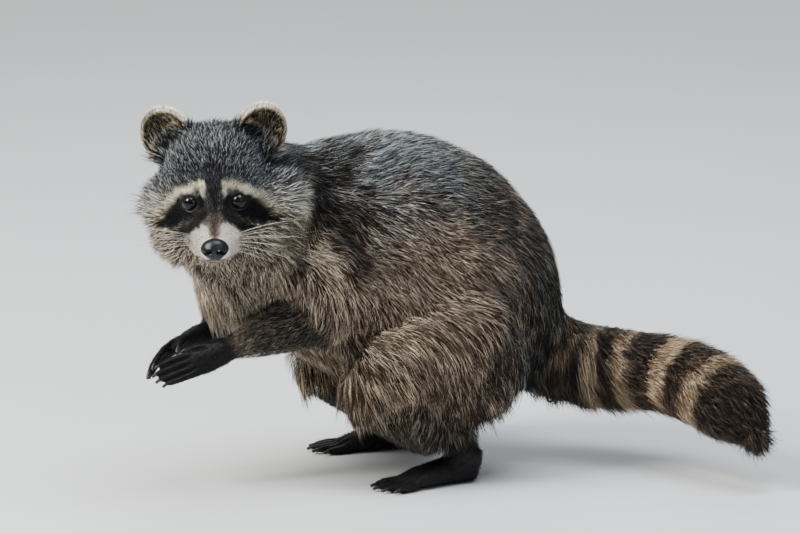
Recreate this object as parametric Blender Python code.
"""A raccoon crouched on its hind feet, hands held out together before its chest, head turned to its left.

A still, life-size model. Metres, +Z up. The animal faces -Y and its left side is +X. The surfaces are those of
the coat's tips. The body is modelled whole and then parted by thin cuts, so that neighbours meet face to face.
Sizes and places are in centimetres, from the point on the floor under the middle of the trunk; the last step
moves the finished model so that the middle of its box is over the origin.
"""

import math

import bmesh
import bpy
import numpy as np
from mathutils import Matrix, Vector

CM = 0.01
GAP = 0.00035  # what parts two neighbours

# Fineness of the surfaces
BODY_VOXEL = 0.0032
BODY_SMOOTHING = 5
BODY_TRIANGLES = 2400
HAND_VOXEL = 0.0013
HAND_SMOOTHING = 3
HAND_TRIANGLES = 330
FOOT_TRIANGLES = 260
SPACE_VOXEL = 0.005  # of the spaces that part the limbs from the trunk
SPACE_TRIANGLES = 160
TUBE_SIDES = 28
STEPS_PER_STATION = 5
DISC_SIDES = 24
BLOCK = 0.3  # a cutter's side, larger than any piece that it trims

# Trunk: along (Y), height of its axis, half width, and reach above and below the axis
TRUNK = [
    (-13.4, 18.6, 5.0, 6.4, 5.6),
    (-11.0, 19.2, 6.3, 8.8, 7.4),
    (-7.5, 19.4, 7.4, 10.1, 8.9),
    (-3.5, 19.0, 8.6, 11.1, 10.3),
    (0.5, 18.6, 9.4, 11.3, 11.0),
    (4.5, 17.6, 9.6, 10.3, 10.4),
    (8.0, 15.8, 9.0, 8.2, 8.6),
    (10.6, 13.7, 7.4, 6.0, 6.8),
    (12.2, 12.2, 5.4, 4.2, 4.8),
]
# Neck: place, half width, above, below
NECK = [
    (0.0, -8.0, 22.2, 6.0, 6.6, 7.0),
    (0.8, -11.6, 24.2, 6.3, 5.9, 7.8),
    (2.4, -14.4, 25.6, 6.3, 5.2, 7.6),
    (4.2, -16.4, 26.4, 5.6, 4.8, 6.6),
]

# Head: it faces -Y in its own frame, which is turned about its middle, between the ears
HEAD_PLACE = (5.5, -17.35, 26.5)
HEAD_TURN = 72.0  # to its left
HEAD_NOD = 5.0  # nose down
HEAD_ROLL = 2.4  # its left side up
HEAD_BALLS = {
    "cranium": ((0, 0.8, 1.3), (5.5, 5.0, 5.2)),
    "forehead": ((0, -1.5, 1.5), (4.5, 3.2, 3.7)),
    "face": ((0.2, -0.8, -0.4), (6.3, 3.1, 4.4)),
    "cheek_left": ((4.3, 0.3, -0.7), (3.9, 3.5, 3.7)),
    "cheek_right": ((-3.4, 0.1, -0.7), (3.5, 3.4, 3.7)),
    "jowl_left": ((2.9, -0.3, -2.6), (3.4, 3.6, 3.2)),
    "jowl_right": ((-2.6, -0.3, -2.6), (3.2, 3.6, 3.2)),
}
MUZZLE = [  # place, half width, above, below
    (0, -2.2, -1.2, 3.6, 2.7, 3.0),
    (0, -4.4, -1.95, 2.95, 2.1, 2.45),
    (0, -6.3, -2.5, 2.25, 1.55, 1.85),
    (0, -7.5, -2.75, 1.6, 1.15, 1.35),
]
NOSE_PAD = ((0, -8.05, -2.5), (1.18, 0.85, 0.92))
EYE_RADIUS = 0.8
EYE_PLACE = (2.0, -3.75, 0.42)
EAR_PLACE = (3.95, 1.4, 5.0)
EAR_RADII = (2.35, 1.3, 2.7)
EAR_LEAN = 17.0  # outwards
EAR_FACES = 12.0  # outwards from straight ahead
EAR_HOLLOW_RADII = (1.95, 1.25, 2.25)
EAR_HOLLOW_SHIFT = (0, -0.95, 0.02)

# Limbs: the places of the joints, with the way across the palm from little finger to thumb
ARMS = {
    "left": {"shoulder": (5.0, -7.2, 20.0), "elbow": (6.4, -8.8, 15.6), "wrist": (4.9, -16.2, 12.9),
             "tip": (3.9, -22.4, 10.5), "thumb": (-0.35, 0.1, 0.93), "curl": 0.22},
    "right": {"shoulder": (-5.0, -7.2, 20.0), "elbow": (-5.6, -9.2, 15.4), "wrist": (-0.9, -16.6, 13.1),
              "tip": (0.1, -21.9, 11.5), "thumb": (0.72, 0.1, 0.66), "curl": 0.42},
}
ARM_RADII = {"shoulder": 3.6, "upper": 3.3, "elbow": 2.6, "forearm": 2.1, "wrist": 1.28}
LEGS = {
    "left": {"hip": (5.2, 5.0, 15.0), "knee": (7.0, -3.7, 9.4), "ankle": (6.8, 4.4, 3.1), "toe_out": 9.0},
    "right": {"hip": (-5.2, 5.0, 15.0), "knee": (-6.8, -3.9, 9.2), "ankle": (-6.6, 3.4, 3.1), "toe_out": -9.0},
}
LEG_RADII = {"hip": 5.6, "thigh": 5.2, "knee": 3.3, "shank": 3.0, "ankle": 1.9}
HAUNCH = ((5.5, 3.9, 11.4), (4.6, 7.2, 5.8))  # the left one
LEG_SPACE = ((9.2, 1.8, 8.2), (6.8, 10.4, 10.2))  # what of the body counts as the left leg
SHANK_SPACE = {"knee": 3.9, "shank": 3.3, "ankle": 2.6}  # radii of what of the leg counts as its shank
ARM_SPACE = {"shoulder": 4.1, "elbow": 3.5, "forearm": 2.9, "wrist": 2.2}  # and of what counts as an arm

# Hand, from its wrist, and foot, from its heel. A digit: across, length, fan in degrees
PALM_LENGTH = 3.7
PALM_HALF_WIDTH = 1.4
PALM_HALF_THICK = 0.8
FINGERS = [(1.0, 1.7, 12.0), (0.87, 2.8, 3.0), (0.29, 3.3, 2.5), (-0.29, 3.2, 2.5), (-0.87, 2.8, 3.0)]
FINGER_RADIUS = 0.45
SOLE_HALF_WIDTH = 1.75
SOLE_LENGTH = 7.4
HEEL_BEHIND = 1.7  # the heel's end behind the ankle
FOOT_THICK = 1.45
HOCK = ((1.4, 1.6), (2.6, 1.8), (3.6, 1.9))  # heights and radii of the foot's part under the ankle
TOES = [(1.3, 1.9, 15.0), (0.72, 2.8, 7.0), (0.0, 3.1, 0.0), (-0.72, 2.8, -7.0), (-1.35, 2.1, -15.0)]
TOE_RADIUS = 0.52
SOLE_CUT = 0.16  # what is sliced off under the foot to make it flat
CLAW_LENGTH = 1.05
CLAW_RADIUS = 0.17
CLAW_SIDES = 8
CLAW_SUNK = 0.35

# Tail: place and radius
TAIL = [
    (0.0, 11.2, 11.6, 4.3),
    (0.4, 14.2, 9.9, 3.8),
    (1.6, 17.0, 9.0, 3.5),
    (3.8, 19.8, 8.7, 3.5),
    (7.0, 22.5, 8.6, 3.55),
    (10.8, 24.6, 8.2, 3.65),
    (14.2, 25.9, 7.2, 3.5),
    (16.4, 26.6, 6.1, 2.7),
    (17.6, 27.0, 5.1, 1.7),
]
TAIL_PIECES = {"tail_root": 0.9, "tail_middle": 3.2, "tail_end": 5.2}  # the stations where they begin

# Cuts across the body: place, the way that the piece cut off lies, and the radius that the cut reaches
HEAD_CUT = ((3.3, -15.6, 25.0), (0.75, -0.6, 0.25), 10.5)
NECK_CUT = ((0.3, -12.3, 23.0), (0.1, -0.88, 0.48), 9.5)
TAIL_CUT_RADIUS = 6.5
ELBOW_CUT_RADIUS = 7.0

COLOURS = {
    "coat_back": (0.10, 0.085, 0.075),
    "coat_face": (0.30, 0.27, 0.23),
    "coat_tail": (0.16, 0.12, 0.085),
    "coat_limb": (0.07, 0.06, 0.055),
    "nose_skin": (0.01, 0.01, 0.012),
    "eye": (0.012, 0.008, 0.006),
    "claw": (0.16, 0.14, 0.12),
}
ROUGHNESS = {"eye": 0.12, "nose_skin": 0.4, "claw": 0.35}
COAT_ROUGHNESS = 0.8


def material(slot):
    """The material of that slot, made at its first use."""
    found = bpy.data.materials.get(slot)
    if found:
        return found
    made = bpy.data.materials.new(slot)
    made.use_nodes = True
    shader = made.node_tree.nodes["Principled BSDF"]
    shader.inputs["Base Color"].default_value = (*COLOURS[slot], 1)
    shader.inputs["Roughness"].default_value = ROUGHNESS.get(slot, COAT_ROUGHNESS)
    return made


def new_object(name, bm, slot):
    """An object of this mesh, its faces turned outwards."""
    bmesh.ops.recalc_face_normals(bm, faces=bm.faces)
    mesh = bpy.data.meshes.new(name)
    bm.to_mesh(mesh)
    bm.free()
    made = bpy.data.objects.new(name, mesh)
    bpy.context.scene.collection.objects.link(made)
    mesh.materials.append(material(slot))
    return made


# Shapes


def between(a, b, share):
    """The place at that share of the way from a to b."""
    return tuple((1 - share) * np.array(a) + share * np.array(b))


def resampled(rows):
    """Rows of numbers joined by a smooth curve through all of them."""
    rows = np.array(rows, float)
    padded = np.vstack([2 * rows[0] - rows[1], rows, 2 * rows[-1] - rows[-2]])
    found = []
    for i in range(len(rows) - 1):
        a, b, c, d = padded[i : i + 4]
        for t in np.linspace(0, 1, STEPS_PER_STATION, endpoint=False):
            bend = (2 * a - 5 * b + 4 * c - d) * t**2 + (3 * b - a - 3 * c + d) * t**3
            found.append(0.5 * (2 * b + (c - a) * t + bend))
    return np.array([*found, rows[-1]])


def tube(bm, rows, up=(0, 0, 1), dome=0.75, sides=TUBE_SIDES):
    """Adds a closed tube with domed ends. A row holds a place, the half width, and the reach up and down."""
    rows = resampled(rows) * CM
    along = np.gradient(rows[:, :3], axis=0)
    along /= np.linalg.norm(along, axis=1)[:, None]
    rings = []
    for row, ahead in zip(rows, along):
        side = np.cross(ahead, up)
        side /= np.linalg.norm(side)
        rings.append((row[:3], row[3:], side, np.cross(side, ahead)))
    for end, outwards in ((0, -1), (-1, 1)):
        place, size, side, above = rings[end]
        domed = []
        for angle in (0.5, 0.95, 1.3):
            beyond = place + along[end] * outwards * dome * size.mean() * math.sin(angle)
            domed.append((beyond, size * math.cos(angle), side, above))
        rings = domed[::-1] + rings if end == 0 else rings + domed
    loops = []
    for place, (half_width, reach_up, reach_down), side, above in rings:
        loop = []
        for k in range(sides):
            turn = 2 * math.pi * k / sides
            reach = reach_up if math.sin(turn) > 0 else reach_down
            offset = side * half_width * math.cos(turn) + above * reach * math.sin(turn)
            loop.append(bm.verts.new(place + offset))
        loops.append(loop)
    for first, second in zip(loops, loops[1:]):
        for k in range(sides):
            bm.faces.new((first[k], first[(k + 1) % sides], second[(k + 1) % sides], second[k]))
    bm.faces.new(loops[0][::-1])
    bm.faces.new(loops[-1])


def round_tube(bm, stations, **options):
    """Adds a closed tube of round section from (place, radius) pairs."""
    tube(bm, [(*place, radius, radius, radius) for place, radius in stations], **options)


def ball(bm, place, radii, frame=None, segments=28, rings=18):
    """Adds an ellipsoid, its place and radii in centimetres in that frame."""
    matrix = Matrix.Translation(Vector(place) * CM) @ Matrix.Diagonal((*(Vector(radii) * CM), 1))
    matrix = frame @ matrix if frame else matrix
    bmesh.ops.create_uvsphere(bm, u_segments=segments, v_segments=rings, radius=1, matrix=matrix)


def facing(place, normal):
    """A frame at that place with +Z along the normal."""
    turn = Vector(normal).to_track_quat("Z", "Y").to_matrix().to_4x4()
    return Matrix.Translation(Vector(place) * CM) @ turn


def head_frame():
    """The head's own frame."""
    turn = Matrix.Rotation(math.radians(HEAD_TURN), 4, "Z")
    nod = Matrix.Rotation(math.radians(HEAD_NOD), 4, "X")
    roll = Matrix.Rotation(math.radians(-HEAD_ROLL), 4, "Y")
    return Matrix.Translation(Vector(HEAD_PLACE) * CM) @ turn @ nod @ roll


def in_head(place):
    """A place in the head's frame as one of the body's, in centimetres."""
    return tuple(head_frame() @ (Vector(place) * CM) / CM)


# Work on whole objects


def applied(obj):
    """Puts the object's modifiers into its mesh."""
    bpy.context.view_layer.update()
    graph = bpy.context.evaluated_depsgraph_get()
    mesh = bpy.data.meshes.new_from_object(obj.evaluated_get(graph), depsgraph=graph)
    obj.modifiers.clear()
    obj.data = mesh
    return obj


def fused(obj, voxel, smoothing, triangles):
    """The object's overlapping shells as one smooth skin of about that many triangles."""
    remesh = obj.modifiers.new("fuse", "REMESH")
    remesh.mode = "VOXEL"
    remesh.voxel_size = voxel
    smooth = obj.modifiers.new("smooth", "SMOOTH")
    smooth.factor = 0.5
    smooth.iterations = smoothing
    applied(obj)
    count = sum(len(face.vertices) - 2 for face in obj.data.polygons)
    thin = obj.modifiers.new("thin", "DECIMATE")
    thin.ratio = min(1.0, triangles / count)
    return applied(obj)


def without(obj, other, operation="DIFFERENCE"):
    """Takes another object's shape out of this one, or keeps only what they share. The other is then gone."""
    cut = obj.modifiers.new("cut", "BOOLEAN")
    cut.operation = operation
    cut.solver = "EXACT"
    cut.object = other
    applied(obj)
    bpy.data.objects.remove(other)
    return obj


def swollen(obj, by=GAP):
    """A copy of the object with its surface moved outwards."""
    copy = obj.copy()
    copy.data = obj.data.copy()
    bpy.context.scene.collection.objects.link(copy)
    grow = copy.modifiers.new("grow", "DISPLACE")
    grow.strength = by
    grow.mid_level = 0
    return applied(copy)


def disc(place, normal, radius, thick=GAP):
    """A thin round cutter."""
    bm = bmesh.new()
    bmesh.ops.create_cone(bm, cap_ends=True, segments=DISC_SIDES, radius1=radius * CM, radius2=radius * CM,
                          depth=thick, matrix=facing(place, normal))
    return new_object("disc", bm, "claw")


def components(bm):
    """The mesh's separate shells, as sets of faces."""
    left = set(bm.faces)
    found = []
    while left:
        shell = set()
        fresh = [left.pop()]
        while fresh:
            face = fresh.pop()
            shell.add(face)
            near = {other for edge in face.edges for other in edge.link_faces} & left
            left -= near
            fresh.extend(near)
        found.append(shell)
    return found


def split_off(obj, name, slot, place, normal, radius):
    """Parts the object by a thin disc. What lies on the normal's side becomes a new object of that name."""
    without(obj, disc(place, normal, radius))
    whole = bmesh.new()
    whole.from_mesh(obj.data)
    ahead = []
    for shell in components(whole):
        middle = sum((face.calc_center_median() * face.calc_area() for face in shell), Vector())
        middle /= sum(face.calc_area() for face in shell)
        if (middle - Vector(place) * CM).dot(Vector(normal)) > 0:
            ahead.extend(shell)
    piece = whole.copy()
    numbers = {face.index for face in ahead}
    piece.faces.ensure_lookup_table()
    bmesh.ops.delete(piece, geom=[face for face in piece.faces if face.index not in numbers], context="FACES")
    bmesh.ops.delete(whole, geom=ahead, context="FACES")
    whole.to_mesh(obj.data)
    whole.free()
    return new_object(name, piece, slot)


def carved_out(obj, name, slot, space_shells):
    """Parts the object along a space made of shells. What lies in it becomes a new object of that name."""
    space = fused(new_object("space", space_shells, "claw"), SPACE_VOXEL, 2, SPACE_TRIANGLES)
    piece = obj.copy()
    piece.name = name
    piece.data = obj.data.copy()
    piece.data.materials[0] = material(slot)
    bpy.context.scene.collection.objects.link(piece)
    without(obj, swollen(space))
    without(piece, space, "INTERSECT")
    for part in (obj, piece):
        keep_largest(part)
    return piece


def keep_largest(obj):
    """Drops the crumbs that a cut leaves beside the main shell."""
    bm = bmesh.new()
    bm.from_mesh(obj.data)
    shells = sorted(components(bm), key=lambda shell: sum(face.calc_area() for face in shell))
    bmesh.ops.delete(bm, geom=[face for shell in shells[:-1] for face in shell], context="FACES")
    bm.to_mesh(obj.data)
    bm.free()


def one_side(obj, place, normal):
    """Slices off what lies on the normal's side of the plane, and leaves a flat there."""
    bm = bmesh.new()
    middle = Matrix.Translation((0, 0, BLOCK / 2))
    bmesh.ops.create_cube(bm, size=BLOCK, matrix=facing(place, normal) @ middle)
    return without(obj, new_object("block", bm, "claw"))


# The body in one


def add_limbs(bm):
    """The arms as far as the wrists and the legs as far as the ankles."""
    radius = ARM_RADII
    for arm in ARMS.values():
        round_tube(bm, [
            (arm["shoulder"], radius["shoulder"]),
            (between(arm["shoulder"], arm["elbow"], 0.55), radius["upper"]),
            (arm["elbow"], radius["elbow"]),
            (between(arm["elbow"], arm["wrist"], 0.5), radius["forearm"]),
            (arm["wrist"], radius["wrist"]),
            (between(arm["wrist"], arm["tip"], 0.35), radius["wrist"] * 0.9),
        ], up=(0.3, -0.5, 1))
    radius = LEG_RADII
    for leg in LEGS.values():
        round_tube(bm, [
            (leg["hip"], radius["hip"]),
            (between(leg["hip"], leg["knee"], 0.5), radius["thigh"]),
            (leg["knee"], radius["knee"]),
            (between(leg["knee"], leg["ankle"], 0.5), radius["shank"]),
            (leg["ankle"], radius["ankle"]),
            (between(leg["knee"], leg["ankle"], 1.1), radius["ankle"] * 0.8),
        ], up=(0, -1, 0.2), dome=0.3)
        (x, y, z), radii = HAUNCH
        ball(bm, (math.copysign(x, leg["hip"][0]), y, z), radii)


def whole_body():
    """Trunk, neck, head, limbs and tail fused into one skin."""
    bm = bmesh.new()
    tube(bm, [(0, *row) for row in TRUNK], dome=0.65)
    tube(bm, NECK)
    for place, radii in HEAD_BALLS.values():
        ball(bm, place, radii, head_frame())
    tube(bm, [(*in_head(row[:3]), *row[3:]) for row in MUZZLE])
    add_limbs(bm)
    round_tube(bm, [(row[:3], row[3]) for row in TAIL], dome=0.9)
    return fused(new_object("trunk", bm, "coat_back"), BODY_VOXEL, BODY_SMOOTHING, BODY_TRIANGLES)


def on_tail(station):
    """The tail's place and direction at a station, which may lie between two."""
    path = resampled([row[:3] for row in TAIL])
    at = station * STEPS_PER_STATION
    i = min(int(at), len(path) - 2)
    return between(path[i], path[i + 1], at - i), tuple(path[i + 1] - path[i])


def part_body(body):
    """Parts the whole body into its nodes. What is left of it is the trunk."""
    split_off(body, "head", "coat_face", *HEAD_CUT)
    split_off(body, "neck", "coat_back", *NECK_CUT)
    rest = body
    for name, station in TAIL_PIECES.items():
        place, along = on_tail(station)
        rest = split_off(rest, name, "coat_tail", place, along, TAIL_CUT_RADIUS)
    for side in ARMS:
        part_arm(body, side)
    for side in LEGS:
        part_leg(body, side)


def part_arm(body, side):
    """Parts an arm into upper arm and forearm, and drops what lies beyond the wrist."""
    arm = ARMS[side]
    radius = ARM_SPACE
    bm = bmesh.new()
    round_tube(bm, [
        (between(arm["shoulder"], arm["elbow"], 0.5), radius["shoulder"]),
        (arm["elbow"], radius["elbow"]),
        (between(arm["elbow"], arm["wrist"], 0.5), radius["forearm"]),
        (arm["wrist"], radius["wrist"]),
        (arm["tip"], radius["wrist"]),
    ], up=(0.3, -0.5, 1), dome=0.5)
    upper = carved_out(body, f"upper_arm_{side}", "coat_limb", bm)
    above = (Vector(arm["elbow"]) - Vector(arm["shoulder"])).normalized()
    below = (Vector(arm["wrist"]) - Vector(arm["elbow"])).normalized()
    elbow = (arm["elbow"], above + below, ELBOW_CUT_RADIUS)
    lower = split_off(upper, f"forearm_{side}", "coat_limb", *elbow)
    one_side(lower, arm["wrist"], Vector(arm["tip"]) - Vector(arm["wrist"]))


def part_leg(body, side):
    """Parts a leg into thigh and shank, and drops what lies below the ankle."""
    leg = LEGS[side]
    (x, y, z), radii = LEG_SPACE
    bm = bmesh.new()
    ball(bm, (math.copysign(x, leg["hip"][0]), y, z), radii)
    thigh = carved_out(body, f"thigh_{side}", "coat_back", bm)
    bm = bmesh.new()
    round_tube(bm, [
        (between(leg["knee"], leg["ankle"], 0.1), SHANK_SPACE["knee"]),
        (between(leg["knee"], leg["ankle"], 0.55), SHANK_SPACE["shank"]),
        (leg["ankle"], SHANK_SPACE["ankle"]),
        (between(leg["knee"], leg["ankle"], 1.4), SHANK_SPACE["ankle"]),
    ], up=(0, -1, 0.2), dome=0.6)
    shank = carved_out(thigh, f"shank_{side}", "coat_limb", bm)
    one_side(shank, leg["ankle"], (0, 0, -1))


# Hands and feet


def digit(bm, root, ahead, droop, length, radius):
    """Adds a finger or toe that bends over towards the droop. Returns its tip and the way it points there."""
    reach = [0, 0.35, 0.7, 1.0]
    fall = [0, 0.15, 0.5, 1.0]
    slim = [1.0, 1.0, 0.92, 0.72]
    stations = [
        (tuple(root + ahead * length * a + droop * length * b), radius * c) for a, b, c in zip(reach, fall, slim)
    ]
    round_tube(bm, stations, up=tuple(ahead.cross(Vector((0.31, 0.52, 0.8)))), sides=12)
    last = Vector(stations[-1][0])
    return last, (last - Vector(stations[-2][0])).normalized()


def claw(name, tip, ahead):
    """A claw out of the end of a digit."""
    bm = bmesh.new()
    middle = tip + ahead * (CLAW_LENGTH / 2 - CLAW_SUNK)
    bmesh.ops.create_cone(bm, cap_ends=True, segments=CLAW_SIDES, radius1=CLAW_RADIUS * CM,
                          radius2=CLAW_RADIUS * CM * 0.3, depth=CLAW_LENGTH * CM, matrix=facing(middle, ahead))
    return new_object(name, bm, "claw")


def hand(side):
    """The hand beyond the wrist, and its claws."""
    arm = ARMS[side]
    wrist = Vector(arm["wrist"])
    ahead = (Vector(arm["tip"]) - wrist).normalized()
    thumb = Vector(arm["thumb"])
    thumb = (thumb - ahead * thumb.dot(ahead)).normalized()
    back = thumb.cross(ahead) * math.copysign(1, arm["shoulder"][0])
    bm = bmesh.new()
    wide, thick = PALM_HALF_WIDTH, PALM_HALF_THICK
    tube(bm, [
        (*(wrist - ahead * 0.9), ARM_RADII["wrist"], ARM_RADII["wrist"], ARM_RADII["wrist"]),
        (*(wrist + ahead * 0.3), ARM_RADII["wrist"] * 0.96, thick * 1.3, thick * 1.3),
        (*(wrist + ahead * 0.55 * PALM_LENGTH), wide, thick, thick),
        (*(wrist + ahead * 0.95 * PALM_LENGTH), wide * 0.9, thick * 0.75, thick * 0.8),
    ], up=tuple(back), dome=0.4, sides=20)
    tips = []
    for across, length, fan in FINGERS:
        fan = math.radians(fan)
        start = 0.45 if across == FINGERS[0][0] else 0.85
        root = wrist + ahead * PALM_LENGTH * start + thumb * across
        way = ahead * math.cos(fan) + thumb * math.sin(fan)
        tips.append(digit(bm, root, way, -back * arm["curl"], length, FINGER_RADIUS))
    made = fused(new_object(f"hand_{side}", bm, "coat_limb"), HAND_VOXEL, HAND_SMOOTHING, HAND_TRIANGLES)
    one_side(made, wrist + ahead * GAP / CM, -ahead)
    for number, (tip, way) in enumerate(tips, 1):
        without(made, swollen(claw(f"claw_hand_{side}_{number}", tip, way)))
    return made


def foot(side):
    """The foot below the ankle, flat underneath, and its claws."""
    leg = LEGS[side]
    ankle = Vector(leg["ankle"])
    turn = math.radians(leg["toe_out"])
    ahead = Vector((math.sin(turn), -math.cos(turn), 0))
    across = Vector((math.cos(turn), math.sin(turn), 0)) * -math.copysign(1, ankle.x)  # towards the inner side
    heel = Vector((ankle.x, ankle.y, 0)) - ahead * HEEL_BEHIND
    lift = Vector((0, 0, FOOT_THICK * 0.85))
    wide = SOLE_HALF_WIDTH
    bm = bmesh.new()
    tube(bm, [
        (*(heel + ahead * 1.0 + lift), wide * 0.72, FOOT_THICK, FOOT_THICK * 0.85),
        (*(heel + ahead * 0.45 * SOLE_LENGTH + lift), wide * 0.82, FOOT_THICK * 0.95, FOOT_THICK * 0.85),
        (*(heel + ahead * 0.78 * SOLE_LENGTH + lift * 0.8), wide, FOOT_THICK * 0.72, FOOT_THICK * 0.7),
        (*(heel + ahead * SOLE_LENGTH + lift * 0.6), wide * 0.92, FOOT_THICK * 0.5, FOOT_THICK * 0.5),
    ], dome=0.6, sides=20)
    hock = [((ankle.x, ankle.y, height), radius) for height, radius in HOCK]
    round_tube(bm, hock, up=(0, 1, 0), dome=0.3, sides=20)
    tips = []
    for inwards, length, fan in TOES:
        fan = math.radians(fan)
        root = heel + ahead * (SOLE_LENGTH - 0.5) + across * inwards + Vector((0, 0, TOE_RADIUS * 1.15))
        way = ahead * math.cos(fan) + across * math.sin(fan)
        tips.append(digit(bm, root, way, Vector((0, 0, -0.02)), length, TOE_RADIUS))
    made = fused(new_object(f"foot_{side}", bm, "coat_limb"), HAND_VOXEL, HAND_SMOOTHING, FOOT_TRIANGLES)
    one_side(made, ankle - Vector((0, 0, GAP / CM)), (0, 0, 1))
    one_side(made, (0, 0, SOLE_CUT), (0, 0, -1))
    for number, (tip, way) in enumerate(tips, 1):
        without(made, swollen(claw(f"claw_foot_{side}_{number}", tip, way)))
    return made


# The head's own pieces


def ear(side, sign, head):
    """A cupped ear that stands on the head."""
    lean = Matrix.Rotation(math.radians(sign * EAR_LEAN), 4, "Y")
    faces = Matrix.Rotation(math.radians(sign * EAR_FACES), 4, "Z")
    x, y, z = EAR_PLACE
    frame = head_frame() @ Matrix.Translation(Vector((sign * x, y, z)) * CM) @ lean @ faces
    shell = bmesh.new()
    ball(shell, (0, 0, 0), EAR_RADII, frame, segments=16, rings=11)
    made = new_object(f"ear_{side}", shell, "coat_face")
    hollow = bmesh.new()
    ball(hollow, EAR_HOLLOW_SHIFT, EAR_HOLLOW_RADII, frame, segments=12, rings=8)
    without(made, new_object("hollow", hollow, "claw"))
    without(made, swollen(head))
    keep_largest(made)


def head_pieces():
    """Eyes, nose and ears. The eyes and the nose sit in sockets of the head."""
    head = bpy.data.objects["head"]
    for side, sign in (("left", 1), ("right", -1)):
        x, y, z = EYE_PLACE
        bm = bmesh.new()
        ball(bm, (sign * x, y, z), (EYE_RADIUS,) * 3, head_frame(), segments=12, rings=8)
        without(head, swollen(new_object(f"eye_{side}", bm, "eye")))
    bm = bmesh.new()
    ball(bm, *NOSE_PAD, head_frame(), segments=12, rings=8)
    without(head, swollen(new_object("nose", bm, "nose_skin")))
    for side, sign in (("left", 1), ("right", -1)):
        ear(side, sign, head)


def centred():
    """Moves all pieces so that their common box stands on the floor with its middle over the origin."""
    objects = list(bpy.context.scene.objects)
    points = np.array([vertex.co for obj in objects for vertex in obj.data.vertices])
    low, high = points.min(axis=0), points.max(axis=0)
    shift = Matrix.Translation((-(low[0] + high[0]) / 2, -(low[1] + high[1]) / 2, -low[2]))
    for obj in objects:
        obj.data.transform(shift)


def main():
    for obj in list(bpy.data.objects):
        bpy.data.objects.remove(obj)
    body = whole_body()
    part_body(body)
    for side in ARMS:
        hand(side)
    for side in LEGS:
        foot(side)
    head_pieces()
    centred()


main()
